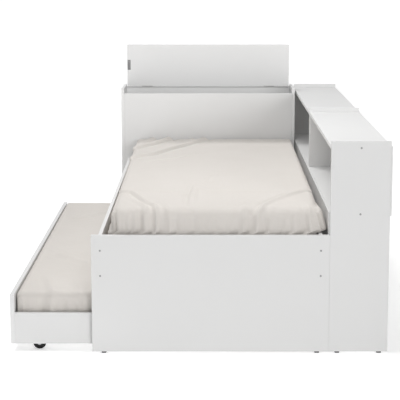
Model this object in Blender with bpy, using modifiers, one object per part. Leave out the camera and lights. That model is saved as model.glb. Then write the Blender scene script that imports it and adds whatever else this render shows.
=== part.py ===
"""Single bed with a trundle bed on casters, a storage chest for a headboard and a case of niches.

Metres, +Z up. X runs across the bed, +Y towards the headboard.
The origin is the middle of the whole object's outline, on the floor.
"""
import math

import bmesh
import bpy

# Boards and gaps
BOARD = 0.015  # coated particle-board panels
THIN_BOARD = 0.006  # backs of the case
JOINT_GAP = 0.0003  # between two pieces that touch
BOARD_EDGE = 0.0006  # chamfer of a panel's edges

# Main bed
MATTRESS_WIDTH = 0.870
MATTRESS_LENGTH = 1.870
MATTRESS_HEIGHT = 0.187
MATTRESS_ROUND = 0.028
MATTRESS_GAP_LEFT = 0.0175
MATTRESS_GAP_RIGHT = 0.002
MATTRESS_GAP_END = 0.010
RAIL_HEIGHT = 0.236
FOOTBOARD_OVERHANG = 0.0288  # past the outer face of each rail
SLAT_COUNT = 6
SLAT_WIDTH = 0.150
SLAT_DROP = 0.079  # from the top of the rails to the top of the slats
SLAT_END_GAP = 0.0012
CLEAT_WIDTH = 0.022
CLEAT_HEIGHT = 0.025

# Headboard chest
HEADBOARD_DEPTH = 0.255
HEADBOARD_RISE = 0.389  # its sides above the top of the rails
HEADBOARD_CASE_GAP = 0.011
CHEST_FRONT_DROP = 0.028  # from the top of the sides to the top of the front
CHEST_FLOOR_HEIGHT = 0.420
CHEST_PANEL_LIFT = 0.024  # lower edge of the front and the back above the glides
LID_SIDE_GAP = 0.005
LID_SEAM = 0.0005  # between the closed lid's rear edge and the back panel
LID_REST_GAP = 0.0004
STAY_PLATE = (0.017, 0.057, 0.002)
STAY_PLATE_EDGE = 0.002  # from the lid's left edge
STAY_PLATE_DISTANCE = 0.095  # from the hinge line

# Hinges of the lid
HINGE_LENGTH = 0.060
HINGE_INSET = 0.120  # from the inner face of each side to the hinge's middle
HINGE_FIXED_LEAF = 0.013  # as wide as the back panel's upper edge allows
HINGE_LID_LEAF = 0.025
HINGE_SHEET = 0.0012
KNUCKLE_RADIUS = 0.003
PIN_RADIUS = 0.0014
PIN_CLEARANCE = 0.0003
KNUCKLE_CLEARANCE = 0.0007

# Case of niches beside the bed
CASE_DEPTH = 0.243
CASE_NEAR_BAY = 1.040  # clear length of the bay at the foot end
CASE_LIP = 0.021  # uprights above the top panels
CASE_SHELF_RISE = 0.095  # top of the shelves above the top of the rails
CASE_BASE_LIFT = 0.054  # underside of the bases above the glides
CASE_BACK_REVEAL = 0.002
CASE_BACK_LIFT = 0.024

# Glides
GLIDE_HEIGHT = 0.006
GLIDE_LENGTH = 0.020
GLIDE_WIDTH = 0.013
GLIDE_CHAMFER = 0.0015
FOOTBOARD_GLIDE_INSET = 0.048
CASE_GLIDE_INSET = 0.035

# Trundle bed, drawn out of the main bed
TRUNDLE_OPEN = 0.370
TRUNDLE_MATTRESS_WIDTH = 0.870
TRUNDLE_MATTRESS_HEIGHT = 0.164
TRUNDLE_MATTRESS_ROUND = 0.024
TRUNDLE_MATTRESS_GAP_END = 0.005
TRUNDLE_GAP_FRONT = 0.009  # from its front board to its mattress
TRUNDLE_GAP_BACK = 0.0075
TRUNDLE_FRONT_BOARD = 0.018
TRUNDLE_GAP_FOOT = 0.010
TRUNDLE_GAP_HEAD = 0.025
TRUNDLE_HEADROOM = 0.015  # from its mattress to the lower edge of the rails
TRUNDLE_PANEL_LIFT = 0.0315
TRUNDLE_FRONT_HEIGHT = 0.2105
TRUNDLE_WALL_HEIGHT = 0.1325

# Casters
WHEEL_RADIUS = 0.0275
WHEEL_WIDTH = 0.018
WHEEL_BEVEL = 0.003
WHEEL_HUB_RADIUS = 0.010
WHEEL_DISH = 0.003
AXLE_RADIUS = 0.003
AXLE_CLEARANCE = 0.0003
FORK_SHEET = 0.0015
FORK_CLEARANCE = 0.0012
FORK_CHEEK_WIDTH = 0.018
CASTER_HEIGHT = 0.068
CASTER_PLATE = (0.044, 0.034, 0.002)
CASTER_INSET_SIDE = 0.116
CASTER_INSET_END = 0.036

ROUND_STEPS = 32
PIN_STEPS = 24

# Across: measured from the outer face of the left rail, then moved to the origin
inner_width = MATTRESS_WIDTH + MATTRESS_GAP_LEFT + MATTRESS_GAP_RIGHT
frame_width = inner_width + 2 * BOARD
case_start = frame_width + FOOTBOARD_OVERHANG + JOINT_GAP
case_end = case_start + CASE_DEPTH
outline_right = case_end + JOINT_GAP + THIN_BOARD
rail_left = -(outline_right - TRUNDLE_OPEN) / 2
rail_right = rail_left + frame_width
inner_left = rail_left + BOARD
inner_right = rail_right - BOARD
foot_left = rail_left - FOOTBOARD_OVERHANG
foot_right = rail_right + FOOTBOARD_OVERHANG
case_left = rail_left + case_start
case_right = rail_left + case_end
head_right = case_left - HEADBOARD_CASE_GAP
head_left = head_right - (foot_right - foot_left)

# Along: from the outer face of the footboard to the back of the headboard
inner_length = MATTRESS_LENGTH + 2 * MATTRESS_GAP_END
total_length = BOARD + inner_length + HEADBOARD_DEPTH
foot_y = -total_length / 2
rail_y = foot_y + BOARD
head_y = rail_y + inner_length
back_y = total_length / 2

# Up: the trundle sets the lower edge of the rails
trundle_base_z = CASTER_HEIGHT + JOINT_GAP
trundle_mattress_z = trundle_base_z + BOARD + JOINT_GAP
trundle_top = trundle_mattress_z + TRUNDLE_MATTRESS_HEIGHT
rail_low = trundle_top + TRUNDLE_HEADROOM
rail_top = rail_low + RAIL_HEIGHT
slat_top = rail_top - SLAT_DROP
head_top = rail_top + HEADBOARD_RISE
chest_front_top = head_top - CHEST_FRONT_DROP
case_top = head_top - CASE_LIP
shelf_top = rail_top + CASE_SHELF_RISE
panel_low = GLIDE_HEIGHT + JOINT_GAP


def clear_scene():
    for old in list(bpy.data.objects):
        bpy.data.objects.remove(old, do_unlink=True)


def make_collection(name):
    collection = bpy.data.collections.new(name)
    bpy.context.scene.collection.children.link(collection)
    return collection


clear_scene()
bed = make_collection("trundle_bed")
cutters = make_collection("cutters")


def make_material(name, colour, roughness, metallic=0.0):
    material = bpy.data.materials.new(name)
    material.use_nodes = True
    shader = material.node_tree.nodes["Principled BSDF"]
    shader.inputs["Base Color"].default_value = (*colour, 1.0)
    shader.inputs["Roughness"].default_value = roughness
    shader.inputs["Metallic"].default_value = metallic
    return material


WHITE = dict(colour=(0.78, 0.78, 0.78), roughness=0.45)
PINE = dict(colour=(0.62, 0.45, 0.27), roughness=0.65)
SHEET = dict(colour=(0.74, 0.70, 0.65), roughness=0.9)
STEEL = dict(colour=(0.55, 0.55, 0.56), roughness=0.35, metallic=1.0)
GREY_PLASTIC = dict(colour=(0.30, 0.30, 0.31), roughness=0.5)
BLACK_PLASTIC = dict(colour=(0.02, 0.02, 0.02), roughness=0.4)
CLEAR_PLASTIC = dict(colour=(0.70, 0.70, 0.70), roughness=0.4)


def add_object(name, data, finish, parent=None, location=(0, 0, 0)):
    """Put a mesh in the bed's collection as one named piece with its own material."""
    piece = bpy.data.objects.new(name, data)
    bed.objects.link(piece)
    if not data.materials:
        data.materials.append(make_material(name, **finish))
    piece.parent = parent
    piece.location = location
    return piece


def add_frame(name, location, rotation=(0, 0, 0), parent=None):
    """An empty that carries the pieces of a moving body."""
    frame = bpy.data.objects.new(name, None)
    bed.objects.link(frame)
    frame.parent = parent
    frame.location = location
    frame.rotation_euler = rotation
    return frame


def block_mesh(name, x, y, z):
    """A box mesh between pairs of limits, about its own centre, and that centre."""
    shape = bmesh.new()
    bmesh.ops.create_cube(shape, size=1.0)
    limits = (x, y, z)
    bmesh.ops.scale(shape, vec=[high - low for low, high in limits], verts=shape.verts)
    mesh = bpy.data.meshes.new(name)
    shape.to_mesh(mesh)
    shape.free()
    return mesh, [(low + high) / 2 for low, high in limits]


def bevel(piece, width, segments=1):
    rounding = piece.modifiers.new("edges", "BEVEL")
    rounding.width = width
    rounding.segments = segments
    rounding.limit_method = "ANGLE"
    return rounding


def block(name, x, y, z, finish, parent=None, edge=BOARD_EDGE, segments=1):
    """A box between three pairs of limits, its edges taken off."""
    mesh, centre = block_mesh(name, x, y, z)
    piece = add_object(name, mesh, finish, parent, centre)
    if edge:
        bevel(piece, edge, segments)
    return piece


def tool(mesh, centre, parent=None, rotation=(0, 0, 0)):
    """A hidden shape that a Boolean uses."""
    shape = bpy.data.objects.new("cutter", mesh)
    cutters.objects.link(shape)
    shape.parent = parent
    shape.location = centre
    shape.rotation_euler = rotation
    shape.display_type = "WIRE"
    shape.hide_render = True
    return shape


def boolean(piece, shape, operation):
    step = piece.modifiers.new(operation.lower(), "BOOLEAN")
    step.operation = operation
    step.solver = "EXACT"
    step.object = shape


def rod_mesh(name, radius, length, steps=PIN_STEPS):
    shape = bmesh.new()
    bmesh.ops.create_cone(
        shape, cap_ends=True, segments=steps, radius1=radius, radius2=radius, depth=length
    )
    mesh = bpy.data.meshes.new(name)
    shape.to_mesh(mesh)
    shape.free()
    return mesh


ALONG_X = (0, math.radians(90), 0)
ALONG_Y = (math.radians(90), 0, 0)


def glide(name, x, y, along_x):
    """A flat plastic foot under a panel's lower edge."""
    half = (GLIDE_LENGTH / 2, GLIDE_WIDTH / 2)
    half_x, half_y = half if along_x else reversed(half)
    limits = (x - half_x, x + half_x), (y - half_y, y + half_y), (0, GLIDE_HEIGHT)
    return block(name, *limits, CLEAR_PLASTIC, edge=GLIDE_CHAMFER)


def build_main_bed():
    middle = (foot_y, foot_y + BOARD - JOINT_GAP)
    block("footboard", (foot_left, foot_right), middle, (panel_low, rail_top), WHITE)
    rail_span = (rail_y, head_y - JOINT_GAP)
    heights = (rail_low, rail_top)
    block("side_rail_left", (rail_left, inner_left), rail_span, heights, WHITE)
    block("side_rail_right", (inner_right, rail_right), rail_span, heights, WHITE)

    slat_low = slat_top - BOARD
    cleat_z = (slat_low - JOINT_GAP - CLEAT_HEIGHT, slat_low - JOINT_GAP)
    cleat_left = (inner_left + JOINT_GAP, inner_left + JOINT_GAP + CLEAT_WIDTH)
    cleat_right = (inner_right - JOINT_GAP - CLEAT_WIDTH, inner_right - JOINT_GAP)
    cleat_y = (rail_y + MATTRESS_GAP_END, head_y - MATTRESS_GAP_END)
    block("slat_cleat_left", cleat_left, cleat_y, cleat_z, PINE)
    block("slat_cleat_right", cleat_right, cleat_y, cleat_z, PINE)

    slat_x = (inner_left + SLAT_END_GAP, inner_right - SLAT_END_GAP)
    first = cleat_y[0] + SLAT_WIDTH / 2
    pitch = (cleat_y[1] - cleat_y[0] - SLAT_WIDTH) / (SLAT_COUNT - 1)
    for index in range(SLAT_COUNT):
        centre = first + index * pitch
        span = (centre - SLAT_WIDTH / 2, centre + SLAT_WIDTH / 2)
        block(f"slat_{index + 1}", slat_x, span, (slat_low, slat_top), PINE)

    block(
        "mattress",
        (inner_left + MATTRESS_GAP_LEFT, inner_right - MATTRESS_GAP_RIGHT),
        (rail_y + MATTRESS_GAP_END, head_y - MATTRESS_GAP_END),
        (slat_top + JOINT_GAP, slat_top + JOINT_GAP + MATTRESS_HEIGHT),
        SHEET,
        edge=MATTRESS_ROUND,
        segments=3,
    )
    for side, x in (
        ("left", foot_left + FOOTBOARD_GLIDE_INSET),
        ("right", foot_right - FOOTBOARD_GLIDE_INSET),
    ):
        glide(f"footboard_glide_{side}", x, foot_y + BOARD / 2, along_x=True)


def build_headboard():
    side_y = (head_y, back_y)
    side_z = (panel_low, head_top)
    block("headboard_side_left", (head_left, head_left + BOARD), side_y, side_z, WHITE)
    block("headboard_side_right", (head_right - BOARD, head_right), side_y, side_z, WHITE)

    between = (head_left + BOARD + JOINT_GAP, head_right - BOARD - JOINT_GAP)
    chest_low = panel_low + CHEST_PANEL_LIFT
    back = (hinge_y, back_y)
    block("headboard_front", between, (head_y, head_y + BOARD), (chest_low, chest_front_top), WHITE)
    block("headboard_back", between, back, (chest_low, lid_top), WHITE)
    floor_y = (head_y + BOARD + JOINT_GAP, hinge_y - JOINT_GAP)
    floor_z = (CHEST_FLOOR_HEIGHT - BOARD, CHEST_FLOOR_HEIGHT)
    block("chest_floor", between, floor_y, floor_z, WHITE)
    for side, x in (("left", head_left + BOARD / 2), ("right", head_right - BOARD / 2)):
        glide(f"headboard_glide_{side}", x, (head_y + back_y) / 2, along_x=False)


# The closed lid lies on the chest's front, its top level with the back panel's upper edge.
# It turns about a line above the seam between the two. In its own frame the closed lid runs
# towards -Y, below the line.
hinge_y = back_y - BOARD
lid_top = chest_front_top + LID_REST_GAP + BOARD
knuckle_reach = KNUCKLE_RADIUS + JOINT_GAP
hinge_z = lid_top + knuckle_reach
lid_width = head_right - head_left - 2 * BOARD - 2 * LID_SIDE_GAP
lid_reach = hinge_y - head_y
lid_x = (head_left + head_right) / 2
leaf_z = (-KNUCKLE_RADIUS, -KNUCKLE_RADIUS + HINGE_SHEET)
leaf_start = KNUCKLE_RADIUS + KNUCKLE_CLEARANCE
knuckle_third = HINGE_LENGTH / 3


def knuckle(frame, centre_x, length, radius):
    return tool(rod_mesh("cutter", radius, length), (centre_x, 0, 0), frame, ALONG_X)


def lug(frame, centre_x, length, side):
    """The strip of leaf that runs under a knuckle, on one side of the hinge line."""
    x = (centre_x - length / 2, centre_x + length / 2)
    y = sorted((0, side * (leaf_start + HINGE_SHEET)))
    return tool(*block_mesh("cutter", x, y, leaf_z), frame)


def fixed_leaf(name, x, frame):
    """The leaf on the back panel's upper edge, with the middle knuckle bored for the pin."""
    span = (x - HINGE_LENGTH / 2, x + HINGE_LENGTH / 2)
    leaf = block(name, span, (leaf_start, HINGE_FIXED_LEAF), leaf_z, STEEL, frame, edge=0)
    boolean(leaf, lug(frame, x, knuckle_third, 1), "UNION")
    boolean(leaf, knuckle(frame, x, knuckle_third, KNUCKLE_RADIUS), "UNION")
    boolean(leaf, knuckle(frame, x, HINGE_LENGTH, PIN_RADIUS + PIN_CLEARANCE), "DIFFERENCE")
    return leaf


def lid_leaf(name, x, frame):
    """The leaf on top of the lid, with the outer knuckles and the pin that they hold."""
    span = (x - HINGE_LENGTH / 2, x + HINGE_LENGTH / 2)
    leaf = block(name, span, (-HINGE_LID_LEAF, -leaf_start), leaf_z, STEEL, frame, edge=0)
    length = knuckle_third - KNUCKLE_CLEARANCE
    for side in (-1, 1):
        centre = x + side * (HINGE_LENGTH - length) / 2
        boolean(leaf, lug(frame, centre, length, -1), "UNION")
        boolean(leaf, knuckle(frame, centre, length, KNUCKLE_RADIUS), "UNION")
    boolean(leaf, knuckle(frame, x, HINGE_LENGTH - length, PIN_RADIUS), "UNION")
    return leaf


def build_lid():
    seat = (lid_x, hinge_y, hinge_z)
    frame = add_frame("lid_axis", seat, (math.radians(-90), 0, 0))
    fixed_frame = add_frame("lid_hinge_seat", seat)
    half = lid_width / 2
    under = -knuckle_reach - BOARD
    block("lid", (-half, half), (-lid_reach, -LID_SEAM), (under, -knuckle_reach), WHITE, frame)

    width, length, sheet = STAY_PLATE
    plate_x = (-half + STAY_PLATE_EDGE, -half + STAY_PLATE_EDGE + width)
    plate_y = (-STAY_PLATE_DISTANCE - length, -STAY_PLATE_DISTANCE)
    plate_z = (under - JOINT_GAP - sheet, under - JOINT_GAP)
    block("lid_stay_plate", plate_x, plate_y, plate_z, GREY_PLASTIC, frame)
    reach = half + LID_SIDE_GAP - HINGE_INSET
    for side, x in (("left", -reach), ("right", reach)):
        fixed_leaf(f"hinge_{side}_fixed_leaf", x, fixed_frame)
        lid_leaf(f"hinge_{side}_lid_leaf", x, frame)


def build_case():
    depth = (case_left, case_right)
    upright_z = (panel_low, head_top)
    divider_y = foot_y + BOARD + CASE_NEAR_BAY
    far_y = back_y - BOARD
    uprights = (("case_end_foot", foot_y), ("case_divider", divider_y), ("case_end_head", far_y))
    for name, start in uprights:
        block(name, depth, (start, start + BOARD), upright_z, WHITE)
        for side, x in (
            ("inner", case_left + CASE_GLIDE_INSET),
            ("outer", case_right - CASE_GLIDE_INSET),
        ):
            glide(f"{name}_glide_{side}", x, start + BOARD / 2, along_x=True)

    base_z = panel_low + CASE_BASE_LIFT
    upper_z = (shelf_top - BOARD, case_top - CASE_BACK_REVEAL)
    lower_z = (panel_low + CASE_BACK_LIFT, shelf_top - CASE_BACK_REVEAL)
    upper_x = (case_right + JOINT_GAP, case_right + JOINT_GAP + THIN_BOARD)
    lower_x = (case_left - JOINT_GAP - THIN_BOARD, case_left - JOINT_GAP)
    middle = divider_y + BOARD / 2
    bays = (
        ("foot", foot_y + BOARD, divider_y, foot_y, middle),
        ("head", divider_y + BOARD, far_y, middle, back_y),
    )
    for bay, start, end, back_start, back_end in bays:
        span = (start + JOINT_GAP, end - JOINT_GAP)
        block(f"case_top_{bay}", depth, span, (case_top - BOARD, case_top), WHITE)
        block(f"case_shelf_{bay}", depth, span, (shelf_top - BOARD, shelf_top), WHITE)
        block(f"case_base_{bay}", depth, span, (base_z, base_z + BOARD), WHITE)
        cover = (back_start + JOINT_GAP, back_end - JOINT_GAP)
        block(f"case_upper_back_{bay}", upper_x, cover, upper_z, WHITE)
        inner_start = max(back_start, rail_y) + JOINT_GAP
        block(f"case_lower_back_{bay}", lower_x, (inner_start, back_end - JOINT_GAP), lower_z, WHITE)


def turned_wheel(name, location, parent):
    """A wheel turned about its axle: crowned tread, dished sides and a bored hub."""
    half = WHEEL_WIDTH / 2
    bore = AXLE_RADIUS + AXLE_CLEARANCE
    inner_rim = WHEEL_RADIUS - 2 * WHEEL_BEVEL
    side = [
        (WHEEL_RADIUS, half - WHEEL_BEVEL),
        (WHEEL_RADIUS - WHEEL_BEVEL * (1 - math.cos(math.radians(45))),
         half - WHEEL_BEVEL * (1 - math.sin(math.radians(45)))),
        (WHEEL_RADIUS - WHEEL_BEVEL, half),
        (inner_rim, half),
        (inner_rim - WHEEL_DISH / 2, half - WHEEL_DISH),
        (WHEEL_HUB_RADIUS, half - WHEEL_DISH),
        (WHEEL_HUB_RADIUS - WHEEL_DISH / 2, half),
        (bore, half),
    ]
    lower = [(radius, -height) for radius, height in side]
    outline = list(reversed(side)) + lower
    mesh = bpy.data.meshes.new(name)
    shape = bmesh.new()
    points = [shape.verts.new((radius, 0, height)) for radius, height in outline]
    for start, end in zip(points, points[1:] + points[:1]):
        shape.edges.new((start, end))
    shape.to_mesh(mesh)
    shape.free()
    wheel = add_object(name, mesh, BLACK_PLASTIC, parent, location)
    wheel.rotation_euler = ALONG_Y
    turn = wheel.modifiers.new("turn", "SCREW")
    turn.steps = ROUND_STEPS
    turn.render_steps = ROUND_STEPS
    turn.use_merge_vertices = True
    turn.merge_threshold = 0.00001
    turn.use_smooth_shade = False
    return wheel


def caster(name, x, y, frame):
    """A fixed caster: a pressed fork with its riveted axle, and the wheel on it."""
    plate_x, plate_y, sheet = CASTER_PLATE
    top = CASTER_HEIGHT
    limits = (x - plate_x / 2, x + plate_x / 2), (y - plate_y / 2, y + plate_y / 2)
    fork = block(f"{name}_fork", *limits, (top - sheet, top), STEEL, frame, edge=0)
    inside = WHEEL_WIDTH / 2 + FORK_CLEARANCE
    for side in (-1, 1):
        cheek_y = sorted((y + side * inside, y + side * (inside + FORK_SHEET)))
        cheek_x = (x - FORK_CHEEK_WIDTH / 2, x + FORK_CHEEK_WIDTH / 2)
        cheek = block_mesh("cutter", cheek_x, cheek_y, (WHEEL_RADIUS, top - sheet / 2))
        boolean(fork, tool(*cheek, frame), "UNION")
        centre = (x, sum(cheek_y) / 2, WHEEL_RADIUS)
        disc = rod_mesh("cutter", FORK_CHEEK_WIDTH / 2, FORK_SHEET)
        boolean(fork, tool(disc, centre, frame, ALONG_Y), "UNION")
    rivet = 2 * (inside + FORK_SHEET) + FORK_SHEET
    axle = rod_mesh("cutter", AXLE_RADIUS, rivet)
    boolean(fork, tool(axle, (x, y, WHEEL_RADIUS), frame, ALONG_Y), "UNION")
    turned_wheel(f"{name}_wheel", (x, y, WHEEL_RADIUS), frame)


def build_trundle():
    """The trundle in its own frame: x from its front panel, y from its foot end, z from the floor."""
    clear_width = TRUNDLE_GAP_FRONT + TRUNDLE_MATTRESS_WIDTH + TRUNDLE_GAP_BACK
    inside = (TRUNDLE_FRONT_BOARD, TRUNDLE_FRONT_BOARD + clear_width)
    width = inside[1] + BOARD
    length = inner_length - TRUNDLE_GAP_FOOT - TRUNDLE_GAP_HEAD
    start = (rail_left - TRUNDLE_OPEN, rail_y + TRUNDLE_GAP_FOOT, 0)
    frame = add_frame("trundle_frame", start)

    front_z = (TRUNDLE_PANEL_LIFT, TRUNDLE_PANEL_LIFT + TRUNDLE_FRONT_HEIGHT)
    wall_z = (TRUNDLE_PANEL_LIFT, TRUNDLE_PANEL_LIFT + TRUNDLE_WALL_HEIGHT)
    inside_x = (inside[0] + JOINT_GAP, inside[1] - JOINT_GAP)
    inside_y = (BOARD + JOINT_GAP, length - BOARD - JOINT_GAP)
    block("trundle_front", (0, inside[0]), (0, length), front_z, WHITE, frame)
    block("trundle_back", (inside[1], width), (0, length), wall_z, WHITE, frame)
    block("trundle_foot", inside_x, (0, BOARD), wall_z, WHITE, frame)
    block("trundle_head", inside_x, (length - BOARD, length), wall_z, WHITE, frame)
    base_z = (trundle_base_z, trundle_base_z + BOARD)
    block("trundle_base", inside_x, inside_y, base_z, WHITE, frame)

    soft_x = (inside[0] + TRUNDLE_GAP_FRONT, inside[1] - TRUNDLE_GAP_BACK)
    soft_y = (BOARD + TRUNDLE_MATTRESS_GAP_END, length - BOARD - TRUNDLE_MATTRESS_GAP_END)
    soft_z = (trundle_mattress_z, trundle_top)
    block(
        "trundle_mattress", soft_x, soft_y, soft_z, SHEET, frame,
        edge=TRUNDLE_MATTRESS_ROUND, segments=3,
    )
    for end, y in (("foot", CASTER_INSET_END), ("head", length - CASTER_INSET_END)):
        for side, x in (("front", CASTER_INSET_SIDE), ("back", width - CASTER_INSET_SIDE)):
            caster(f"caster_{end}_{side}", x, y, frame)


build_main_bed()
build_headboard()
build_lid()
build_case()
build_trundle()
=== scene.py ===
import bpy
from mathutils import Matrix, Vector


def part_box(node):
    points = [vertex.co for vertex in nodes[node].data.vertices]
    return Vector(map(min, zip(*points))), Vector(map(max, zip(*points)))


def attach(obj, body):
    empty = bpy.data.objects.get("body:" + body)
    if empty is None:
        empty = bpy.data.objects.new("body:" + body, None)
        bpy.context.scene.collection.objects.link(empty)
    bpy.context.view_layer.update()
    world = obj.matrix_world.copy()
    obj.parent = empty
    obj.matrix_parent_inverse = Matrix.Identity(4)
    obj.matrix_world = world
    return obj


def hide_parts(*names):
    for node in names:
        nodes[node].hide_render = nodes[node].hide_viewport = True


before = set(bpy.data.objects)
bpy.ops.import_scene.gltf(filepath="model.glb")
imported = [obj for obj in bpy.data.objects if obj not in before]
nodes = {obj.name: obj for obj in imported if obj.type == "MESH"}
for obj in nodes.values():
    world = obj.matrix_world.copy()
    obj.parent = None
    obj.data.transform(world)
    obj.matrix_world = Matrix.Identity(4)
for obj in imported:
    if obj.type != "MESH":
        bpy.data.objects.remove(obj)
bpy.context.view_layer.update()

import math

import bmesh
import bpy
import numpy as np
from mathutils import Vector

print("frame loaded:", len(nodes), "CAD nodes")


# room, light and camera

studio = {
    "skyColour": (1.0, 0.998, 0.993),
    "skyStrength": 0.20,
    "floorColour": (0.93, 0.93, 0.93, 1.0),
    "floorGlow": 0.42,
    "floorRoughness": 0.9,
    "floorSpecular": 0.1,
    "floorHalfWidth": 70.0,
    "farClip": 400.0,
}
lamps = [
    # name, kind, size in metres or spread in degrees, power, place, aim
    ("overheadSun", "SUN", 50.0, 0.52, (-0.4, 0.4, 4.0), (0.0, 0.0, 0.0)),
    ("backSun", "SUN", 20.0, 1.12, (-1.4, 2.0, 3.4), (0.0, 0.0, 0.0)),
    ("frontSun", "SUN", 22.0, 0.72, (2.0, -4.0, 0.80), (0.0, 0.0, 0.0)),
    ("boomBox", "AREA", (1.6, 0.6), 26.0, (0.0, -1.2, 2.5), (0.0, 1.0, 1.0)),
    ("backPanel", "AREA", (6.0, 1.3), 18.0, (0.4, 5.5, 2.0), (0.4, 0.0, 0.9)),
]
lens = {
    "place": (0.0392, -5.7848, 1.6258),
    "pitch": 8.28,
    "length": 106.3,
    "sensor": 36.0,
    "shift": (-0.022, -0.18),
}


def buildStudio():
    scene = bpy.context.scene
    scene.view_settings.view_transform = "Standard"
    world = bpy.data.worlds.new("studioSky")
    world.use_nodes = True
    sky = world.node_tree.nodes["Background"]
    sky.inputs["Color"].default_value = (*studio["skyColour"], 1.0)
    sky.inputs["Strength"].default_value = studio["skyStrength"]
    scene.world = world

    for name, kind, size, power, place, aim in lamps:
        lamp = bpy.data.lights.new(name, kind)
        lamp.energy = power
        if kind == "SUN":
            lamp.angle = math.radians(size)
        else:
            lamp.shape = "RECTANGLE"
            lamp.size, lamp.size_y = size
        holder = bpy.data.objects.new(name, lamp)
        holder.location = place
        holder.visible_camera = False
        holder.rotation_euler = (Vector(place) - Vector(aim)).to_track_quat("Z", "Y").to_euler()
        scene.collection.objects.link(holder)

    half = studio["floorHalfWidth"]
    mesh = bpy.data.meshes.new("floor")
    corners = [(-half, -half, 0), (half, -half, 0), (half, half, 0), (-half, half, 0)]
    mesh.from_pydata(corners, [], [(0, 1, 2, 3)])
    floor = bpy.data.objects.new("floor", mesh)
    scene.collection.objects.link(floor)
    paper = bpy.data.materials.new("paleFloor")
    paper.use_nodes = True
    shader = paper.node_tree.nodes["Principled BSDF"]
    shader.inputs["Base Color"].default_value = studio["floorColour"]
    shader.inputs["Roughness"].default_value = studio["floorRoughness"]
    shader.inputs["Specular IOR Level"].default_value = studio["floorSpecular"]
    shader.inputs["Emission Color"].default_value = (1.0, 1.0, 1.0, 1.0)
    shader.inputs["Emission Strength"].default_value = studio["floorGlow"]
    mesh.materials.append(paper)

    eye = bpy.data.cameras.new("camera")
    eye.lens = lens["length"]
    eye.sensor_width = lens["sensor"]
    eye.shift_x, eye.shift_y = lens["shift"]
    eye.clip_end = studio["farClip"]
    camera = bpy.data.objects.new("camera", eye)
    camera.location = lens["place"]
    camera.rotation_euler = (math.radians(90.0 - lens["pitch"]), 0.0, 0.0)
    scene.collection.objects.link(camera)
    scene.camera = camera


buildStudio()
print("studio ready")


class Wire:
    # one output socket; arithmetic on it adds Math nodes
    def __init__(self, graph, socket):
        self.graph, self.socket = graph, socket

    def math(self, operation, other=None, flipped=False):
        pair = (other, self) if flipped else (self, other)
        sockets = {i: value for i, value in enumerate(pair) if value is not None}
        return self.graph.add("ShaderNodeMath", {"operation": operation}, sockets)

    def __add__(self, other):
        return self.math("ADD", other)

    def __sub__(self, other):
        return self.math("SUBTRACT", other)

    def __rsub__(self, other):
        return self.math("SUBTRACT", other, True)

    def __mul__(self, other):
        return self.math("MULTIPLY", other)

    def __abs__(self):
        return self.math("ABSOLUTE")

    __radd__, __rmul__ = __add__, __mul__

    def sine(self):
        return self.math("SINE")

    def most(self, other):
        return self.math("MAXIMUM", other)

    def step(self, low, high):
        # 0 below low, 1 above high, smooth between
        return self.graph.add("ShaderNodeMapRange", {"interpolation_type": "SMOOTHSTEP"},
                              {"Value": self, "From Min": low, "From Max": high})

    def part(self, name):
        # another output of the same node
        return Wire(self.graph, self.socket.node.outputs[name])


class Graph:
    # a material, its shader and its nodes
    def __init__(self, name, **constants):
        self.material = bpy.data.materials.new(name)
        self.material.use_nodes = True
        self.tree = self.material.node_tree
        self.shader = self.tree.nodes["Principled BSDF"]
        for socket, value in constants.items():
            self.shader.inputs[socket.replace("_", " ")].default_value = value
        self.place = self.add("ShaderNodeTexCoord").part("Object")
        self.facing = self.place.part("Normal")

    def add(self, kind, settings=None, sockets=None):
        node = self.tree.nodes.new(kind)
        for name, value in (settings or {}).items():
            if name == "stops":
                ramp = node.color_ramp
                while len(ramp.elements) < len(value):
                    ramp.elements.new(0.5)
                for element, (position, colour) in zip(ramp.elements, value):
                    element.position, element.color = position, (*colour, 1.0)
            else:
                setattr(node, name, value)
        for name, value in (sockets or {}).items():
            if isinstance(value, Wire):
                self.tree.links.new(value.socket, node.inputs[name])
            else:
                node.inputs[name].default_value = value
        return Wire(self, next(s for s in node.outputs if s.enabled))

    def feed(self, **sockets):
        for name, value in sockets.items():
            self.tree.links.new(value.socket, self.shader.inputs[name.replace("_", " ")])

    def noise(self, scale, detail=3.0, roughness=0.55, vector=None):
        return self.add("ShaderNodeTexNoise", None, {
            "Vector": vector or self.place, "Scale": scale, "Detail": detail, "Roughness": roughness})

    def stretched(self, factors, vector=None):
        return self.add("ShaderNodeVectorMath", {"operation": "MULTIPLY"},
                        {0: vector or self.place, 1: factors})

    def parts(self, vector):
        split = self.add("ShaderNodeSeparateXYZ", None, {"Vector": vector})
        return [split.part(axis) for axis in "XYZ"]

    def joined(self, x, y, z):
        return self.add("ShaderNodeCombineXYZ", None, {"X": x, "Y": y, "Z": z})

    def blend(self, factor, first, second):
        mix = self.add("ShaderNodeMix", {"data_type": "RGBA"}, {"Factor": factor, 6: first, 7: second})
        return mix.part(2)

    def ramp(self, factor, *stops):
        return self.add("ShaderNodeValToRGB", {"stops": stops}, {"Fac": factor})

    def relief(self, height, distance, strength=1.0, under=None):
        sockets = {"Height": height, "Distance": distance, "Strength": strength}
        if under:
            sockets["Normal"] = under
        return self.add("ShaderNodeBump", None, sockets)


board = {
    "face": (0.800, 0.800, 0.798),
    "faceWarm": (0.788, 0.788, 0.782),
    "tape": (0.830, 0.830, 0.828),
    "specular": 0.45,
    "edgeFrom": 0.45, "edgeTo": 0.80,
    "cloudScale": 2.3, "speckScale": 420.0, "poreScale": 1400.0, "smudgeScale": 9.0,
    "smudgeStep": (0.35, 0.75),
    "speckShare": 0.7, "poreShare": 0.3,
    "pearl": 0.00006, "pearlStrength": 0.8, "tapeCalm": 0.75, "seamDepth": 2.5,
    "seamIn": (0.40, 0.46), "seamOut": (0.50, 0.58),
    "roughness": 0.42, "smudgeRough": 0.07, "tapeRough": 0.10,
}
boardFinishes = {}


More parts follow.
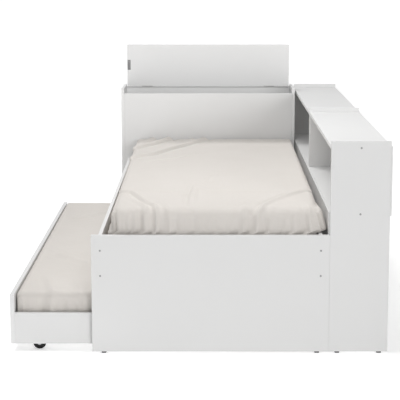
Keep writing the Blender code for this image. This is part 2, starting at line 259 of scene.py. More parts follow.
def boardFinish(thinAxis):
    # coated particle board; the narrow faces across the thin axis carry edge tape
    if thinAxis in boardFinishes:
        return boardFinishes[thinAxis]
    g = Graph("whiteBoard" + "XYZ"[thinAxis], Specular_IOR_Level=board["specular"])
    across = abs(g.parts(g.facing)[thinAxis])
    tape = 1 - across.step(board["edgeFrom"], board["edgeTo"])
    cloud = g.noise(board["cloudScale"], 2.0)
    speck = g.noise(board["speckScale"], 4.0, 0.6)
    face = g.blend(cloud, (*board["face"], 1.0), (*board["faceWarm"], 1.0))
    colour = g.blend(tape, face, (*board["tape"], 1.0))
    smudge = g.noise(board["smudgeScale"], 5.0, 0.6).step(*board["smudgeStep"])
    pores = g.add("ShaderNodeTexVoronoi", {"feature": "SMOOTH_F1"},
                  {"Vector": g.place, "Scale": board["poreScale"]})
    grain = speck * board["speckShare"] + pores * board["poreShare"]
    # a hairline step where the tape meets the face
    seam = across.step(*board["seamIn"]) * (1 - across.step(*board["seamOut"]))
    height = grain * (1 - tape * board["tapeCalm"]) - seam * board["seamDepth"]
    g.feed(Base_Color=colour,
           Roughness=board["roughness"] + smudge * board["smudgeRough"] - tape * board["tapeRough"],
           Normal=g.relief(height, board["pearl"], board["pearlStrength"]))
    boardFinishes[thinAxis] = g.material
    return g.material


pineWood = {
    "specular": 0.35,
    "driftScale": 3.2, "drift": (0.05, 0.03),
    "along": 1.3, "across": 16.0,
    "wave": {"Scale": 1.1, "Distortion": 3.0, "Detail": 3.0, "Detail Scale": 1.4},
    "fibre": (55.0, 4.0, 0.6), "fibreStretch": (0.25, 9.0, 9.0), "fibreShare": 0.35,
    "knotStretch": (3.0, 9.0, 9.0), "knotStep": (0.05, 0.16), "knot": (0.22, 0.11, 0.045, 1.0),
    "stops": [(0.0, (0.52, 0.34, 0.17)), (0.45, (0.68, 0.50, 0.29)), (1.0, (0.78, 0.62, 0.40))],
    "roughness": 0.62, "fibreRough": 0.2,
    "relief": 0.0004, "reliefStrength": 0.7, "reliefFibre": 0.6,
}


def pineFinish():
    g = Graph("pineSlat", Specular_IOR_Level=pineWood["specular"])
    x, y, z = g.parts(g.place)
    drift = g.noise(pineWood["driftScale"], 2.0)
    driftY, driftZ = pineWood["drift"]
    across = pineWood["across"]
    rings = g.joined(x * pineWood["along"], (y + drift * driftY) * across, (z + drift * driftZ) * across)
    grain = g.add("ShaderNodeTexWave", {"wave_type": "RINGS", "rings_direction": "X"},
                  {"Vector": rings, **pineWood["wave"]})
    fibre = g.noise(*pineWood["fibre"], g.stretched(pineWood["fibreStretch"]))
    knots = g.add("ShaderNodeTexVoronoi", None,
                  {"Vector": g.stretched(pineWood["knotStretch"]), "Scale": 1.0})
    knot = 1 - knots.part("Distance").step(*pineWood["knotStep"])
    share, bump = pineWood["fibreShare"], pineWood["reliefFibre"]
    wood = g.ramp(grain * (1 - share) + fibre * share, *pineWood["stops"])
    g.feed(Base_Color=g.blend(knot, wood, pineWood["knot"]),
           Roughness=pineWood["roughness"] + fibre * pineWood["fibreRough"],
           Normal=g.relief(fibre * bump + grain * (1 - bump), pineWood["relief"], pineWood["reliefStrength"]))
    return g.material


metal = {
    "brush": (260.0, 4.0, 0.6), "brushStretch": (1.0, 7.0, 7.0), "spots": (60.0, 4.0, 0.6),
    "shade": 0.82, "spotStops": (0.3, 0.7), "brushRough": 0.16, "relief": 0.00005, "reliefStrength": 0.6,
}


def steelFinish(name, tint, roughness):
    g = Graph(name, Metallic=1.0)
    brushed = g.noise(*metal["brush"], g.stretched(metal["brushStretch"]))
    low = tuple(channel * metal["shade"] for channel in tint)
    g.feed(Base_Color=g.ramp(g.noise(*metal["spots"]), *zip(metal["spotStops"], (low, tint))),
           Roughness=roughness + brushed * metal["brushRough"],
           Normal=g.relief(brushed, metal["relief"], metal["reliefStrength"]))
    return g.material


moulded = {
    "specular": 0.5, "textureScale": 900.0, "scuff": (75.0, 5.0, 0.65), "scuffStep": (0.55, 0.75),
    "cloudScale": 30.0, "cloudStops": (0.3, 0.7), "scuffRough": 0.15, "textureRough": 0.05,
    "relief": 0.00008, "reliefStrength": 0.8,
}


def plasticFinish(name, dark, light, roughness):
    g = Graph(name, Specular_IOR_Level=moulded["specular"])
    texture = g.noise(moulded["textureScale"], 3.0)
    scuff = g.noise(*moulded["scuff"]).step(*moulded["scuffStep"])
    g.feed(Base_Color=g.ramp(g.noise(moulded["cloudScale"]), *zip(moulded["cloudStops"], (dark, light))),
           Roughness=roughness + scuff * moulded["scuffRough"] + texture * moulded["textureRough"],
           Normal=g.relief(texture, moulded["relief"], moulded["reliefStrength"]))
    return g.material


weave = {
    "specular": 0.15, "sheenRoughness": 0.45, "sheenTint": (1.0, 0.98, 0.95, 1.0),
    "faceStep": (0.68, 0.74),
    "slub": (34.0, 3.0, 0.6), "slubLong": 0.12, "slubShort": 3.0,
    "cloudScale": 5.0, "pucker": (26.0, 3.0, 0.6),
    "overShare": 0.5, "slubShare": 1.4, "cloudTint": 0.55, "slubTint": 0.45, "tintStep": (0.25, 0.8),
    "roughness": 0.80, "slubRough": 0.12,
    "thread": 0.00016, "threadStrength": 0.5, "puckerDepth": 0.0012, "puckerStrength": 0.35,
}


def clothFinish(name, light, shade, thread, sheen):
    # plain weave: warp and weft of one thread size, laid along each face of the piece
    g = Graph(name, Specular_IOR_Level=weave["specular"], Sheen_Weight=sheen,
              Sheen_Roughness=weave["sheenRoughness"], Sheen_Tint=weave["sheenTint"])
    x, y, z = g.parts(g.place)
    faceX, faceY, _ = g.parts(g.facing)
    side = abs(faceX).step(*weave["faceStep"])
    end = abs(faceY).step(*weave["faceStep"])
    upright = side.most(end)
    warp = x * (1 - side) + y * side
    weft = y * (1 - upright) + z * upright
    turn = 2 * math.pi / thread
    over = (warp * turn).sine() * (weft * turn).sine()
    long, short = weave["slubLong"], weave["slubShort"]
    slubs = g.noise(*weave["slub"], g.joined(warp * long, weft * short, 0.0))
    slubsAcross = g.noise(*weave["slub"], g.joined(warp * short, weft * long, 0.0))
    slub = slubs.most(slubsAcross)
    cloud = g.noise(weave["cloudScale"])
    tint = (cloud * weave["cloudTint"] + slub * weave["slubTint"]).step(*weave["tintStep"])
    pucker = g.relief(g.noise(*weave["pucker"]), weave["puckerDepth"], weave["puckerStrength"])
    threads = over * weave["overShare"] + slub * weave["slubShare"]
    g.feed(Base_Color=g.blend(tint, (*light, 1.0), (*shade, 1.0)),
           Roughness=weave["roughness"] + slub * weave["slubRough"],
           Normal=g.relief(threads, weave["thread"], weave["threadStrength"], pucker))
    return g.material


pine = pineFinish()
hingeSteel = steelFinish("hingeSteel", (0.62, 0.61, 0.59), 0.28)
casterSteel = steelFinish("casterSteel", (0.56, 0.56, 0.57), 0.34)
wheelPlastic = plasticFinish("wheelPlastic", (0.003, 0.003, 0.003), (0.007, 0.007, 0.007), 0.60)
stayPlastic = plasticFinish("stayPlastic", (0.20, 0.20, 0.20), (0.27, 0.27, 0.27), 0.45)
glidePlastic = plasticFinish("glidePlastic", (0.035, 0.035, 0.036), (0.06, 0.06, 0.06), 0.5)
sheetCotton = clothFinish("sheetCotton", (0.728, 0.694, 0.658), (0.704, 0.669, 0.630), 0.0011, 0.12)
ticking = clothFinish("mattressTicking", (0.74, 0.72, 0.68), (0.70, 0.68, 0.64), 0.0016, 0.05)


def finishFor(name):
    if "glide" in name:
        return glidePlastic
    if "slat" in name:
        return pine
    if "hinge" in name:
        return hingeSteel
    if "stay" in name:
        return stayPlastic
    if name.endswith("wheel"):
        return wheelPlastic
    if name.endswith("fork"):
        return casterSteel
    low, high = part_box(name)
    return boardFinish(int(np.argmin(np.array(high) - np.array(low))))


for name, node in nodes.items():
    if name in ("mattress", "trundle_mattress"):
        continue
    for holder in node.material_slots:
        holder.material = finishFor(name)
print("finishes on the CAD pieces")


def marks(*runs):
    # coordinates along one side: (from, to, spacing) runs end to end
    out = []
    for start, stop, spacing in runs:
        count = max(1, round((stop - start) / spacing))
        out += list(np.linspace(start, stop, count + 1)[:-1])
    return np.array(out + [runs[-1][1]])


def wrapMesh(name, xs, ys, zs, underTurn=None):
    # a lattice over the top and the four sides, and the bottom or a strip turned under it
    points, index, faces = [], {}, []

    def at(*key):
        if key not in index:
            index[key] = len(points)
            points.append((xs[key[0]], ys[key[1]], zs[key[2]]))
        return index[key]

    nx, ny, nz = len(xs) - 1, len(ys) - 1, len(zs) - 1
    for i in range(nx):
        for j in range(ny):
            faces.append([at(i, j, nz), at(i + 1, j, nz), at(i + 1, j + 1, nz), at(i, j + 1, nz)])
            toEdge = min(xs[i + 1] - xs[0], xs[-1] - xs[i], ys[j + 1] - ys[0], ys[-1] - ys[j])
            if underTurn is None or toEdge <= underTurn:
                faces.append([at(i, j + 1, 0), at(i + 1, j + 1, 0), at(i + 1, j, 0), at(i, j, 0)])
    for k in range(nz):
        for i in range(nx):
            faces.append([at(i, 0, k), at(i + 1, 0, k), at(i + 1, 0, k + 1), at(i, 0, k + 1)])
            faces.append([at(i + 1, ny, k), at(i, ny, k), at(i, ny, k + 1), at(i + 1, ny, k + 1)])
        for j in range(ny):
            faces.append([at(0, j + 1, k), at(0, j, k), at(0, j, k + 1), at(0, j + 1, k + 1)])
            faces.append([at(nx, j, k), at(nx, j + 1, k), at(nx, j + 1, k + 1), at(nx, j, k + 1)])
    mesh = bpy.data.meshes.new(name)
    mesh.from_pydata(points, [], faces)
    for face in mesh.polygons:
        face.use_smooth = True
    piece = bpy.data.objects.new(name, mesh)
    bpy.context.scene.collection.objects.link(piece)
    return piece, np.array(points)


def rounded(points, low, high, corners, top, bottom):
    # soften a box: the upright corners, then the top and bottom edges, all tighter towards the head end
    out = points.copy()
    corner, edge = (np.interp(points[:, 1], (low[1], high[1]), ends) for ends in (corners, top))
    inner = np.clip(points[:, :2], low[:2] + corner[:, None], high[:2] - corner[:, None])
    reach = points[:, :2] - inner
    length = np.linalg.norm(reach, axis=1)
    square = np.abs(reach).max(axis=1)
    outward = reach / np.where(length > 1e-9, length, 1.0)[:, None]
    out[:, :2] = inner + outward * square[:, None]
    inset = corner - square
    for radius, depth, sign in ((edge, high[2] - points[:, 2], 1.0), (bottom, points[:, 2] - low[2], -1.0)):
        a, b = np.clip(radius - inset, 0, None), np.clip(radius - depth, 0, None)
        turning = (a > 0) & (b > 0)
        scale = np.where(turning, radius / np.where(turning, np.hypot(a, b), 1.0), 1.0)
        out[:, :2] += outward * (a * (scale - 1))[:, None]
        out[:, 2] += sign * b * (scale - 1)
    return out


def unrolled(points, low, high):
    # cloth coordinates: u and v run over the edges and on down each side
    x, y, z = points.T
    drop = high[2] - z
    outX = np.minimum(x - low[0], high[0] - x)
    outY = np.minimum(y - low[1], high[1] - y)
    onSide = outX < outY
    centre = (low + high) / 2
    u = x + np.where(onSide, np.sign(x - centre[0]) * drop, 0.0)
    v = y + np.where(onSide, 0.0, np.sign(y - centre[1]) * drop)
    return np.column_stack([u, v])


def foldHeight(cloth, path, width, height, valley=0.5, lean=1.7):
    # a soft ridge along a path of (u, v), with a shallow valley on its right-hand side
    path = np.array(path, float)
    steps = np.linalg.norm(np.diff(path, axis=0), axis=1)
    total = steps.sum()
    best = np.full(len(cloth), np.inf)
    along, across = np.zeros(len(cloth)), np.zeros(len(cloth))
    walked = 0.0
    for start, stop, step in zip(path[:-1], path[1:], steps):
        way = (stop - start) / step
        off = cloth - start
        t = np.clip(off @ way, 0, step)
        gap = off - t[:, None] * way
        distance = np.linalg.norm(gap, axis=1)
        nearer = distance < best
        best = np.where(nearer, distance, best)
        side = np.sign(off[:, 0] * way[1] - off[:, 1] * way[0])
        along = np.where(nearer, (walked + t) / total, along)
        across = np.where(nearer, side * distance, across)
        walked += step
    if np.ndim(height) == 0:
        rise = height * np.sin(np.pi * np.clip(along, 0, 1)) ** 0.6
    else:
        rise = np.interp(along, np.linspace(0, 1, len(height)), height)
    size = width if np.ndim(width) == 0 else np.interp(along, np.linspace(0, 1, len(width)), width)
    ridge = np.exp(-(across / size) ** 2)
    dip = np.exp(-((across - lean * size) / size) ** 2)
    return rise * (ridge - valley * dip)


cotton = {"quality": 6, "mass": 0.18, "shearShare": 0.4, "holds": (0.25, 0.5, 0.75, 1.0)}


def coordinates(owner):
    out = np.empty(len(owner.vertices) * 3)
    owner.vertices.foreach_get("co", out)
    return out.reshape(-1, 3)


def relax(piece, anchors, settings):
    # let the cloth settle for a few frames, then keep the result within a small move
    mesh = piece.data
    before = coordinates(mesh)
    held = piece.vertex_groups.new(name="held")
    for weight in cotton["holds"]:
        held.add([int(i) for i in np.flatnonzero(np.abs(anchors - weight) <= 0.125)], weight, "REPLACE")
    cloth = piece.modifiers.new("cloth", "CLOTH")
    how = cloth.settings
    how.quality = cotton["quality"]
    how.mass = cotton["mass"]
    how.tension_stiffness = how.compression_stiffness = settings["stiffness"]
    how.shear_stiffness = settings["stiffness"] * cotton["shearShare"]
    how.bending_stiffness = settings["bending"]
    how.use_pressure = settings["pressure"] > 0
    how.uniform_pressure_force = settings["pressure"]
    how.shrink_min = settings["shrink"]
    how.vertex_group_mass = "held"
    how.pin_stiffness = settings["hold"]
    how.effector_weights.gravity = settings["gravity"]
    cloth.collision_settings.use_collision = False
    cloth.point_cache.frame_start, cloth.point_cache.frame_end = 1, settings["frames"]
    for frameNumber in range(1, settings["frames"] + 1):
        bpy.context.scene.frame_set(frameNumber)
    solved = piece.evaluated_get(bpy.context.evaluated_depsgraph_get()).to_mesh()
    move = coordinates(solved) - before
    size = np.linalg.norm(move, axis=1)
    limit = settings["mostMove"]
    kept = move * (limit * np.tanh(size / limit) / np.where(size > 1e-9, size, 1.0))[:, None]
    piece.modifiers.remove(cloth)
    piece.vertex_groups.remove(held)
    bpy.context.scene.frame_set(1)
    mesh.vertices.foreach_set("co", (before + kept).ravel())
    mesh.update()
    print(" ", piece.name, "settled, most move", round(float(size.max()) * 1000, 1), "mm, mean",
          round(float(size.mean()) * 1000, 2), "mm")


def normalsOf(piece):
    mesh = piece.data
    mesh.update()
    out = np.empty(len(mesh.vertices) * 3)
    mesh.vertices.foreach_get("normal", out)
    return out.reshape(-1, 3)


def applyAll(piece):
    # the evaluated shape becomes the piece's own mesh
    graph = bpy.context.evaluated_depsgraph_get()
    done = bpy.data.meshes.new_from_object(piece.evaluated_get(graph))
    old = piece.data
    piece.modifiers.clear()
    piece.data = done
    bpy.data.meshes.remove(old)
    done.name = piece.name


def dress(piece, finish, body):
    piece.data.materials.clear()
    piece.data.materials.append(finish)
    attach(piece, body)


bedSheet = {
    "inset": (0.004, 0.0, 0.004, 0.001),  # clear of the rails, footboard and headboard
    "corners": (0.046, 0.016), "top": (0.042, 0.012), "bottom": 0.014,
    "underTurn": 0.055, "thickness": 0.0012,
    "lean": 0.014, "seamLift": 0.0022, "footRoom": 0.013, "wall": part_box("footboard")[1][1] + 0.0015,
    "wallTop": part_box("footboard")[1][2], "foldGain": 1.7, "footFlare": 0.0075, "cornerFlare": 0.036,
    "folds": [
        # path of (u, v), width, heights along it
        ([(-0.380, -0.640), (-0.307, -0.720), (-0.235, -0.933), (-0.201, -0.985),
          (-0.187, -1.075), (-0.180, -1.235)],
         0.010, (0.0045, 0.007, 0.0075, 0.0075, 0.006, 0.005, 0.006)),
        ([(-0.330, -0.820), (-0.262, -0.930), (-0.238, -1.010), (-0.230, -1.235)],
         0.012, (0.0, 0.003, 0.004, 0.006)),
        ([(-0.210, -0.900), (-0.160, -0.980), (-0.140, -1.060), (-0.136, -1.235)],
         0.011, (0.0, 0.003, 0.004, 0.005)),
        ([(0.482, -0.648), (0.383, -0.754), (0.295, -0.901), (0.249, -0.995),
          (0.225, -1.080), (0.215, -1.235)],
         0.012, (0.005, 0.0075, 0.0085, 0.0085, 0.007, 0.006, 0.006)),
        ([(0.255, -0.890), (0.200, -0.950), (0.172, -1.010), (0.165, -1.235)],
         0.012, (0.0, 0.003, 0.004, 0.005)),
        ([(0.290, -0.960), (0.282, -1.070), (0.279, -1.235)], 0.010, (0.0, 0.003, 0.005)),
        ([(-0.036, -0.510), (-0.052, -0.780), (-0.055, -0.930), (-0.050, -1.050)],
         0.008, (0.0, 0.0045, 0.0055, 0.005, 0.0)),
        ([(-0.015, -0.540), (-0.034, -0.700), (-0.036, -0.850), (-0.036, -1.000)],
         0.008, (0.0, 0.0035, 0.0045, 0.0)),
        ([(0.056, -0.300), (0.030, -0.410), (0.020, -0.480)], 0.010, 0.0018),
        ([(-0.376, 0.190), (-0.272, 0.290), (-0.176, 0.475), (-0.088, 0.625), (0.010, 0.830)], 0.016,
         (0.009, 0.0125, 0.0135, 0.012, 0.009)),
        ([(-0.376, 0.495), (-0.288, 0.622), (-0.210, 0.785), (-0.180, 0.850)],
         0.015, (0.010, 0.014, 0.014, 0.012)),
        ([(-0.340, 0.690), (-0.290, 0.800), (-0.280, 0.850)], 0.015, (0.003, 0.008, 0.008)),
        ([(-0.110, 0.680), (-0.070, 0.780), (-0.060, 0.850)], 0.014, (0.0, 0.004, 0.005)),
        ([(-0.340, 0.060), (-0.180, 0.170), (-0.040, 0.330)], 0.018, 0.0024),
        ([(0.430, -0.900), (0.436, -1.040), (0.440, -1.235)], 0.012, (0.0, 0.003, 0.007, 0.009)),
        ([(0.380, -1.010), (0.376, -1.235)], 0.012, (0.0, 0.003, 0.005)),
        ([(0.560, -0.560), (0.540, -0.820), (0.500, -1.000)], 0.020, (0.0, 0.003, 0.004)),
    ],
    "gathers": {"seed": 11, "full": 0.62, "from": -0.385, "to": 0.495, "height": 0.011,
                "at": (-0.38, -0.14, -0.08, 0.10, 0.15, 0.24, 0.28, 0.38, 0.42, 0.50),
                "strength": (1.0, 1.0, 0.35, 0.35, 0.8, 0.8, 0.35, 0.4, 1.0, 1.3),
                "spacing": (0.026, 0.026, 0.032, 0.030, 0.022, 0.024, 0.034, 0.030, 0.018, 0.015)},
    "settle": {"stiffness": 9.0, "bending": 0.25, "pressure": 0.35, "shrink": -0.003, "hold": 1.0,
               "gravity": 0.25, "frames": 14, "mostMove": 0.007},
}
trundleSheet = {
    "inset": (-0.005, -0.002, 0.002, 0.003),  # the soft mattress swells towards its front board
    "corners": (0.030, 0.018), "top": (0.024, 0.014), "bottom": 0.014,
    "underTurn": 0.055, "thickness": 0.0012,
    "lean": 0.0, "seamLift": 0.0022, "footRoom": 0.010, "wall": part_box("trundle_foot")[1][1] + 0.0012,
    "wallTop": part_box("trundle_foot")[1][2], "foldGain": 1.4, "footFlare": 0.002, "cornerFlare": 0.0,
    "folds": [
        ([(-0.700, -0.700), (-0.640, -0.880), (-0.610, -1.020), (-0.600, -1.190)],
         0.018, (0.0, 0.002, 0.004, 0.005)),
        ([(-0.520, -0.900), (-0.500, -1.020), (-0.496, -1.190)], 0.016, (0.0, 0.002, 0.0045)),
        ([(-0.740, -0.300), (-0.560, -0.500), (-0.420, -0.620)], 0.022, 0.0022),
        ([(-0.690, 0.360), (-0.520, 0.520), (-0.330, 0.700)], 0.022, 0.0045),
        ([(0.080, -0.700), (-0.040, -0.860), (-0.110, -1.010), (-0.125, -1.190)],
         0.017, (0.0, 0.004, 0.005, 0.005)),
        ([(0.080, 0.300), (-0.060, 0.480), (-0.140, 0.700)], 0.020, 0.004),
    ],
    "gathers": {"seed": 5, "full": 0.55, "from": -0.745, "to": 0.115, "height": 0.0085,
                "at": (-0.75, 0.12), "strength": (0.8, 0.9), "spacing": (0.045, 0.040)},
    "settle": {"stiffness": 9.0, "bending": 0.25, "pressure": 0.35, "shrink": -0.003, "hold": 1.0,
               "gravity": 0.25, "frames": 12, "mostMove": 0.006},
}


drape = {
    # shared by both sheets, in metres unless a power
    "topGap": 0.0015, "mostFold": 0.014, "leastRoom": 0.001, "roomGain": 0.05, "overWall": 0.003,
    "calm": 0.02, "hem": 0.03, "railGap": 0.001, "railBlend": 0.010, "footReach": 0.018, "footBase": 0.05,
    "cornerReach": 0.11, "sideReach": 0.10, "sidePower": 1.5, "cornerPower": 1.3,
}
pleat = {
    # ranges of one upright crease: share of the depth, where it starts, its slant and half width
    "depth": (0.6, 1.25), "start": (-0.28, 0.25), "slant": (-0.014, 0.014), "size": (0.0060, 0.0095),
    "jitter": (0.65, 1.35), "ease": 0.8, "profile": 1.35, "overEdge": 0.06,
}
softPleat = {
    "share": 0.6, "tall": (0.4, 1.2), "size": (0.012, 0.020), "endSize": 0.014, "drift": (-0.01, 0.01),
    "start": 0.01, "pastHem": 1.1, "sideSpacing": (0.045, 0.11), "endSpacing": (0.045, 0.10),
    "sideMargin": 0.06, "endMargin": 0.05,
}


def gatherHeight(cloth, kit, edge, drop):
    # upright creases on one end face, from nothing at the top edge to deepest at the hem
    draw = np.random.default_rng(kit["seed"])
    u, v = cloth.T
    depth = (edge - v) / drop
    total = np.zeros(len(cloth))
    place = kit["from"]
    while place < kit["to"]:
        strength, spacing = (np.interp(place, kit["at"], kit[name]) for name in ("strength", "spacing"))
        deep = kit["height"] * strength * draw.uniform(*pleat["depth"])
        start, slant, size = (draw.uniform(*pleat[name]) for name in ("start", "slant", "size"))
        fade = np.clip((depth - start) / (kit["full"] - start), 0, 1) ** pleat["ease"]
        away = np.abs(u - place - slant * (1 - depth)) / (size * (0.8 + 0.6 * fade))
        total -= deep * fade * np.exp(-away ** pleat["profile"])
        place += spacing * draw.uniform(*pleat["jitter"])
    return np.where(v < edge + pleat["overEdge"], total, 0.0)


def sideGathers(cloth, low, high, seed, height, drop):
    # the same softer gathers down the long sides and the head end
    draw = np.random.default_rng(seed)
    total = np.zeros(len(cloth))
    start, below = softPleat["start"], drop * softPleat["pastHem"]
    for side, edge in ((-1, low[0]), (1, high[0])):
        place = low[1] + softPleat["sideMargin"]
        while place < high[1] - softPleat["sideMargin"]:
            tall = height * draw.uniform(*softPleat["tall"])
            size = draw.uniform(*softPleat["size"])
            path = [(edge - side * start, place),
                    (edge + side * below, place + draw.uniform(*softPleat["drift"]))]
            total += foldHeight(cloth, path, size, (0.0, tall * 0.5, tall))
            place += draw.uniform(*softPleat["sideSpacing"])
    place = low[0] + softPleat["endMargin"]
    while place < high[0] - softPleat["endMargin"]:
        tall = height * draw.uniform(*softPleat["tall"])
        path = [(place, high[1] - start), (place, high[1] + below)]
        total += foldHeight(cloth, path, softPleat["endSize"], (0.0, tall))
        place += draw.uniform(*softPleat["endSpacing"])
    return total


def settleRoom(shape, low, high, kit):
    # above the rails the bedding leans to the shelf side and swells over them
    x, y, z = shape.T
    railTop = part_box("side_rail_right")[1][2] if kit["lean"] else low[2]
    above = np.clip((z - railTop - drape["railGap"]) / drape["railBlend"], 0, 1)
    above = above * above * (3 - 2 * above)
    out = shape.copy()
    out[:, 0] += kit["lean"] * above
    depth = np.clip((high[2] - z) / (high[2] - railTop), 0, 1)
    fromFoot = np.clip(y - low[1], 0, None)
    rising = np.clip((z - low[2]) / drape["footBase"], 0, 1)
    out[:, 1] -= kit["footFlare"] * depth * np.exp(-fromFoot / drape["footReach"]) * rising
    toCorner = np.exp(-(fromFoot / drape["cornerReach"]) ** 2)
    onRight = np.clip(1 - (high[0] - x) / drape["sideReach"], 0, 1) ** drape["sidePower"]
    out[:, 0] += kit["cornerFlare"] * depth ** drape["cornerPower"] * toCorner * onRight * above
    return out


def spread(low, high, runs):
    # lattice lines along one side, from runs of (from, to) in shares and a spacing
    return marks(*[(low + a * (high - low), low + b * (high - low), step) for a, b, step in runs])


def buildSheet(name, kit, cadName, lattice):
    low, high = (np.array(end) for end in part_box(cadName))
    left, right, foot, head = kit["inset"]
    low = low + (left, foot, 0.0)
    high = high - (right, head, kit["thickness"] + drape["topGap"])
    drop = high[2] - low[2]
    runsX, runsY, stepZ = lattice
    xs, ys = spread(low[0], high[0], runsX), spread(low[1], high[1], runsY)
    zs = marks((low[2], high[2], stepZ))
    piece, points = wrapMesh(name, xs, ys, zs, kit["underTurn"])
    shape = rounded(points, low, high, kit["corners"], kit["top"], kit["bottom"])
    shape = settleRoom(shape, low, high, kit)
    piece.data.vertices.foreach_set("co", shape.ravel())
    cloth = unrolled(points, low, high)
    height = kit["foldGain"] * sum(foldHeight(cloth, *fold) for fold in kit["folds"])
    gathers = kit["gathers"]
    height += gatherHeight(cloth, gathers, low[1], drop)
    height += sideGathers(cloth, low, high, gathers["seed"] + 1, gathers["height"] * softPleat["share"], drop)
    under = np.clip((points[:, 2] - low[2]) / drape["calm"], 0, 1)
    normal = normalsOf(piece)
    # the seam down each corner stands a little proud
    atCorner = np.isin(points[:, 0], (xs[0], xs[-1])) & np.isin(points[:, 1], (ys[0], ys[-1]))
    height += np.where(atCorner, kit["seamLift"], 0.0)
    # creases lean inward freely, and outward only as far as the footboard allows
    most = drape["mostFold"]
    height = most * np.tanh(height / most)
    gain = np.clip(shape[:, 2] - kit["wallTop"], 0, drape["roomGain"])
    room = np.clip(shape[:, 1] - kit["wall"] + gain, drape["leastRoom"], most)
    onFoot = points[:, 1] <= ys[0] + 1e-6
    height = np.where(onFoot & (height > 0), room * np.tanh(height / room), height)
    shape += normal * (height * under)[:, None]
    piece.data.vertices.foreach_set("co", shape.ravel())
    piece.data.update()
    anchors = np.where(points[:, 2] <= low[2] + 1e-6, 1.0, 0.25)
    anchors = np.where(points[:, 2] < low[2] + drape["hem"], np.maximum(anchors, 0.5), anchors)
    relax(piece, anchors, kit["settle"])
    settled = coordinates(piece.data)
    behind = settled[:, 2] < kit["wallTop"] + drape["overWall"]
    settled[:, 1] = np.where(behind, np.maximum(settled[:, 1], kit["wall"]), settled[:, 1])
    piece.data.vertices.foreach_set("co", settled.ravel())
    change = piece.modifiers.new("cloth", "SOLIDIFY")
    change.thickness, change.offset = kit["thickness"], -1.0
    applyAll(piece)
    width, length = high[0] - low[0], high[1] - low[1]
    wrap = 2 * (drop + kit["underTurn"])
    flat = (float(width + wrap), float(length + wrap))
    # a fitted sheet has a square cut out of each corner
    area = flat[0] * flat[1] - wrap * wrap
    print(" ", name, "flat", [round(side, 3) for side in flat], "faces", len(piece.data.polygons))
    return piece, flat, float(area), low, high


foam = {
    "side": 0.0035, "top": 0.004, "spacing": (0.030, 0.034, 0.024), "tighter": 0.003, "bottom": 0.010,
    "sway": 0.0012, "waves": (23.0, 17.0), "flatBase": 0.02,
}


def buildCore(name, kit, low, high):
    # the foam block in its ticking, just inside the sheet
    low = low + (foam["side"], kit["footRoom"], 0.0)
    high = high - (foam["side"], foam["side"], foam["top"])
    xs, ys, zs = (marks((low[axis], high[axis], step)) for axis, step in enumerate(foam["spacing"]))
    piece, points = wrapMesh(name, xs, ys, zs)
    corners, top = ([size - foam["tighter"] for size in kit[part]] for part in ("corners", "top"))
    shape = rounded(points, low, high, corners, top, foam["bottom"])
    shape = settleRoom(shape, low, high, {**kit, "footFlare": 0.0, "cornerFlare": 0.0})
    wavesX, wavesY = foam["waves"]
    sway = foam["sway"] * (np.sin(points[:, 0] * wavesX) * np.sin(points[:, 1] * wavesY) - 1)
    shape[:, 2] += np.where(points[:, 2] > low[2] + foam["flatBase"], sway, 0.0)
    piece.data.vertices.foreach_set("co", shape.ravel())
    piece.data.update()
    change = piece.modifiers.new("smooth", "SUBSURF")
    change.levels = change.render_levels = 1
    applyAll(piece)
    return piece


def makeBed(kit, sheetName, coreName, cadName, body, lattice):
    sheet, flat, area, low, high = buildSheet(sheetName, kit, cadName, lattice)
    core = buildCore(coreName, kit, low, high)
    dress(sheet, sheetCotton, body)
    dress(core, ticking, body)
    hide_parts(cadName)


makeBed(bedSheet, "bedSheet", "mattressCore", "mattress", "bed", (
    [(0.0, 0.32, 0.0062), (0.32, 0.64, 0.0078), (0.64, 1.0, 0.0060)],
    [(0.0, 0.20, 0.0068), (0.20, 0.58, 0.017), (0.58, 1.0, 0.0092)], 0.0085))
makeBed(trundleSheet, "trundleSheet", "trundleCore", "trundle_mattress", "trundle", (
    [(0.0, 1.0, 0.0085)],
    [(0.0, 0.16, 0.0085), (0.16, 1.0, 0.0140)], 0.0095))
print("bedding ready")

screw = {
    # radius and rise of a head, by where it sits
    "onBoard": (0.0042, 0.0009), "onLeaf": (0.0019, 0.0004), "onPlate": (0.0026, 0.0006),
    "sides": 18,
    # ring radius and height as shares of the head, and how far it is a hexagon
    "profile": [(1.00, -0.40, 0), (1.00, 0.40, 0), (0.93, 0.72, 0), (0.76, 0.94, 0), (0.62, 1.00, 0.6),
                (0.54, 0.96, 1), (0.49, 0.80, 1), (0.47, 0.22, 1), (0.20, 0.16, 0)],
    "footboardDrops": (0.0646, 0.1706),
    "chestHeights": (0.12, 0.47, 0.80), "chestFloorPlaces": (0.90, 1.01),
    "trundleHeights": (0.060, 0.135), "fromPanelEnd": 0.0075,
    "leafShares": (0.18, 0.5, 0.82), "fromLeafEdge": 0.0045, "leafSheet": 0.0012, "fromPlateEnd": 0.010,
}


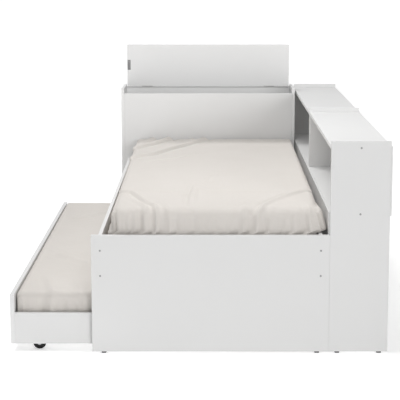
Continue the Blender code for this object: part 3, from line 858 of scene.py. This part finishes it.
def screwHeads(name, spots, facing, size, body):
    # low domed heads with a hexagon socket, as one piece for each panel
    radius, rise = screw[size]
    out = Vector(facing)
    across = out.orthogonal().normalized()
    upward = out.cross(across)
    work = bmesh.new()
    sides = screw["sides"]
    half, sixth = math.pi / 6, math.pi / 3
    for spot in spots:
        rings = []
        for share, height, hexed in screw["profile"]:
            ring = []
            for k in range(sides):
                angle = 2 * math.pi * k / sides
                toFlat = math.cos(half) / math.cos((angle + half) % sixth - half)
                reach = radius * share * (1 + hexed * (toFlat - 1))
                sideways = across * (reach * math.cos(angle)) + upward * (reach * math.sin(angle))
                ring.append(work.verts.new(Vector(spot) + out * (rise * height) + sideways))
            rings.append(ring)
        for lower, higher in zip(rings[:-1], rings[1:]):
            for k in range(sides):
                after = (k + 1) % sides
                work.faces.new((lower[k], lower[after], higher[after], higher[k]))
        work.faces.new(rings[-1])
        work.faces.new(rings[0][::-1])
    bmesh.ops.recalc_face_normals(work, faces=work.faces)
    mesh = bpy.data.meshes.new(name)
    work.to_mesh(mesh)
    work.free()
    for face in mesh.polygons:
        face.use_smooth = len(face.vertices) == 4
    piece = bpy.data.objects.new(name, mesh)
    bpy.context.scene.collection.objects.link(piece)
    dress(piece, screwSteel, body)


def middle(name, axis):
    # the middle of a CAD piece along one axis
    low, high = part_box(name)
    return (low[axis] + high[axis]) / 2


screwSteel = steelFinish("screwSteel", (0.40, 0.40, 0.40), 0.36)

front, back, left, right, up = (0, -1, 0), (0, 1, 0), (-1, 0, 0), (1, 0, 0), (0, 0, 1)
rails = [middle(name, 0) for name in ("side_rail_left", "side_rail_right")]
footFace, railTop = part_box("footboard")[0][1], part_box("side_rail_left")[1][2]
spots = [(x, footFace, railTop - drop) for x in rails for drop in screw["footboardDrops"]]
screwHeads("footboardScrews", spots, front, "onBoard", "bed")

heights = [middle(name, 2) for name in ("case_top_foot", "case_shelf_foot")]
for name, panel, side, facing in (("caseScrewsFoot", "case_end_foot", 0, front),
                                  ("caseScrewsHead", "case_end_head", 1, back)):
    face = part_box(panel)[side][1]
    screwHeads(name, [(middle("case_end_foot", 0), face, z) for z in heights], facing, "onBoard", "bed")

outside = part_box("headboard_side_left")[0][0]
spots = [(outside, middle(name, 1), z) for name in ("headboard_front", "headboard_back")
         for z in screw["chestHeights"]]
spots += [(outside, y, middle("chest_floor", 2)) for y in screw["chestFloorPlaces"]]
screwHeads("headboardScrews", spots, left, "onBoard", "bed")

low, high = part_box("trundle_back")
inset = screw["fromPanelEnd"]
spots = [(high[0], y, z) for y in (low[1] + inset, high[1] - inset) for z in screw["trundleHeights"]]
screwHeads("trundleScrews", spots, right, "onBoard", "trundle")

for side in ("left", "right"):
    low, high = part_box(f"hinge_{side}_fixed_leaf")
    xs = [low[0] + share * (high[0] - low[0]) for share in screw["leafShares"]]
    spots = [(x, high[1] - screw["fromLeafEdge"], low[2] + screw["leafSheet"]) for x in xs]
    screwHeads(f"fixedLeafScrews_{side}", spots, up, "onLeaf", "bed")

low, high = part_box("lid_stay_plate")
inset = screw["fromPlateEnd"]
spots = [(middle("lid_stay_plate", 0), low[1], z) for z in (low[2] + inset, high[2] - inset)]
screwHeads("stayPlateScrews", spots, front, "onPlate", "lid")
print("screws ready")
